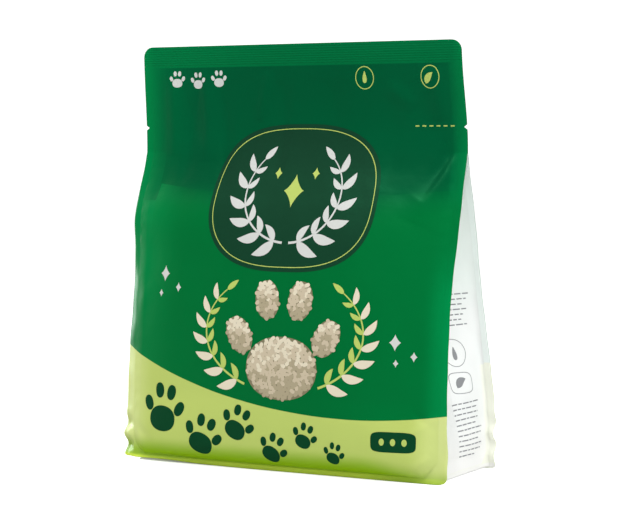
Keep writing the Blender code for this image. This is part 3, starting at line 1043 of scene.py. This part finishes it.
def film(name, colour, specular=0.30, depth=1.0, high_end=None, tint=grey(1.0)):
    """Satin film: a fixed colour, or a group that works out the colour from the place."""
    material, wires, surface = new_material(name)
    if isinstance(colour, tuple):
        surface.inputs["Base Color"].default_value = colour
    else:
        ground_node = wires.node("ShaderNodeGroup", node_tree=colour)
        if high_end is not None:
            ground_node.inputs["High End"].default_value = high_end
        wires.feed(surface.inputs["Base Color"], ground_node.outputs[0])
    texture = wires.node("ShaderNodeGroup", node_tree=grain)
    texture.inputs["Depth"].default_value = depth
    bump = wires.node("ShaderNodeBump")
    bump.inputs["Strength"].default_value = BUMP_STRENGTH
    bump.inputs["Distance"].default_value = BUMP_DISTANCE
    wires.feed(bump.inputs["Height"], texture.outputs["Height"])
    wires.feed(surface.inputs["Normal"], bump.outputs[0])
    wires.feed(surface.inputs["Roughness"], texture.outputs["Gloss"])
    surface.inputs["Specular IOR Level"].default_value = specular
    surface.inputs["Specular Tint"].default_value = tint
    return material


GREEN_SHEEN = (0.09, 1.0, 0.42, 1.0)
front.data.materials.append(film("front_film", ground, high_end=-1.0, tint=GREEN_SHEEN))
back.data.materials.append(film("back_film", ground, high_end=0.88, tint=GREEN_SHEEN))
white_film = film("white_film", white_ground, 0.35)
for web in (right_side, left_side, bottom):
    web.data.materials.append(white_film)

INK_COLOURS = {
    "white": (203, 205, 201),
    "lime": (180, 199, 100),
    "dark": (14, 66, 38),
    "deep": (22, 62, 42),
    "cream": (200, 186, 160),
    "pale": (222, 212, 188),
    "straw": (172, 160, 132),
    "husk": (128, 122, 94),
    "side": (138, 141, 143),
}
for name, piece in inks.items():
    tint = GREEN_SHEEN if name in ("dark", "deep") else grey(1.0)
    piece.data.materials.append(film(f"{name}_ink", linear(*INK_COLOURS[name]), tint=tint))
left_print.data.materials.append(inks["side"].data.materials[0])

# %% [markdown]
# ## Riding on the solid
#
# Every piece stands for the one solid and rides with it, and the solid's own mesh is hidden.

# %% Tie the pieces to the solid
for piece in [*webs, *inks.values(), left_print]:
    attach(piece, "root")
    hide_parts("bag")

# %% [markdown]
# ## Studio
#
# White paper below, a pale sky all round, and four soft boxes: a big one high in front, two on
# the left and one on the right. Light paths keep the paper white to the camera and dark in the
# film's reflections. The camera looks from the front right, a little above the pouch's middle,
# through a long lens.

# %% The paper below
data = bpy.data.meshes.new("paper")
data.from_pydata([(-6, -6, 0), (6, -6, 0), (6, 6, 0), (-6, 6, 0)], [], [(0, 1, 2, 3)])
paper = add_object("paper", data)
paper.location.z = -0.0002
material, wires, surface = new_material("paper")
for label, value in (("Roughness", 0.9), ("Specular IOR Level", 0.0), ("Emission Strength", 1.0)):
    surface.inputs[label].default_value = value
rays = wires.node("ShaderNodeLightPath").outputs
colour = wires.mix(rays["Is Glossy Ray"], grey(0.84), grey(0.05))
wires.feed(surface.inputs["Base Color"], colour)
glow = wires.mix(rays["Is Camera Ray"], grey(0.0), grey(0.68))
wires.feed(surface.inputs["Emission Color"], glow)
paper.data.materials.append(material)

# %% The sky and the soft boxes
world = bpy.data.worlds.new("studio")
bpy.context.scene.world = world
world.use_nodes = True
wires = Wires(world.node_tree)
sky = world.node_tree.nodes["Background"]
sky.inputs["Color"].default_value = grey(1.0)

# the sky's strength: 0.48 for the light that it gives, little in reflections, white to the camera
rays = wires.node("ShaderNodeLightPath").outputs
strength = wires.times_add(rays["Is Glossy Ray"], -0.46, 0.48)
strength = wires.math("ADD", strength, wires.times(rays["Is Camera Ray"], 0.7))
wires.feed(sky.inputs["Strength"], strength)


def direction(azimuth, elevation):
    """One metre away from the pouch; azimuth 0 is in front of it and 90 on its right."""
    a, e = math.radians(azimuth), math.radians(elevation)
    return Vector((math.sin(a) * math.cos(e), -math.cos(a) * math.cos(e), math.sin(e)))


def soft_box(name, azimuth, elevation, distance, width, height, power):
    """A rectangular light of some power in watts, aimed at the pouch's middle."""
    light = bpy.data.lights.new(name, "AREA")
    light.shape, light.size, light.size_y, light.energy = "RECTANGLE", width, height, power
    lamp = add_object(name, light)
    away = direction(azimuth, elevation)
    lamp.location = Vector((0, 0, 0.16)) + away * distance
    lamp.rotation_mode = "QUATERNION"
    lamp.rotation_quaternion = away.to_track_quat("Z", "Y")


# azimuth, elevation, distance, width, height and power
soft_box("overhead", 10, 64, 1.9, 1.6, 1.2, 30)
soft_box("left_box", -103, 8, 1.5, 0.45, 1.4, 13)
soft_box("front_box", -66, 6, 1.7, 0.35, 0.6, 0.2)
soft_box("right_box", 92, 16, 1.5, 1.0, 1.4, 8.5)

# %% The camera
AZIMUTH, ELEVATION, DISTANCE = 28.4, 3.45, 1.56
AIM, SHIFT = (0.0, -0.011, 0.1536), 0.0057
FOCAL_PIXELS, PICTURE_PIXELS, SENSOR = 2050, 617, 36.0
backward = direction(AZIMUTH, ELEVATION)
azimuth = math.radians(AZIMUTH)
rightward = Vector((math.cos(azimuth), math.sin(azimuth), 0.0))
upward = backward.cross(rightward)
target = rightward * SHIFT + Vector(AIM)
lens = bpy.data.cameras.new("camera")
lens.sensor_width = SENSOR
lens.lens = FOCAL_PIXELS / PICTURE_PIXELS * SENSOR
camera = add_object("camera", lens)
turn = Matrix((rightward, upward, backward)).transposed()
camera.matrix_world = Matrix.Translation(target + backward * DISTANCE) @ turn.to_4x4()
bpy.context.scene.camera = camera
bpy.context.scene.view_settings.view_transform = "Standard"
print("camera at", [round(value, 3) for value in camera.matrix_world.translation])
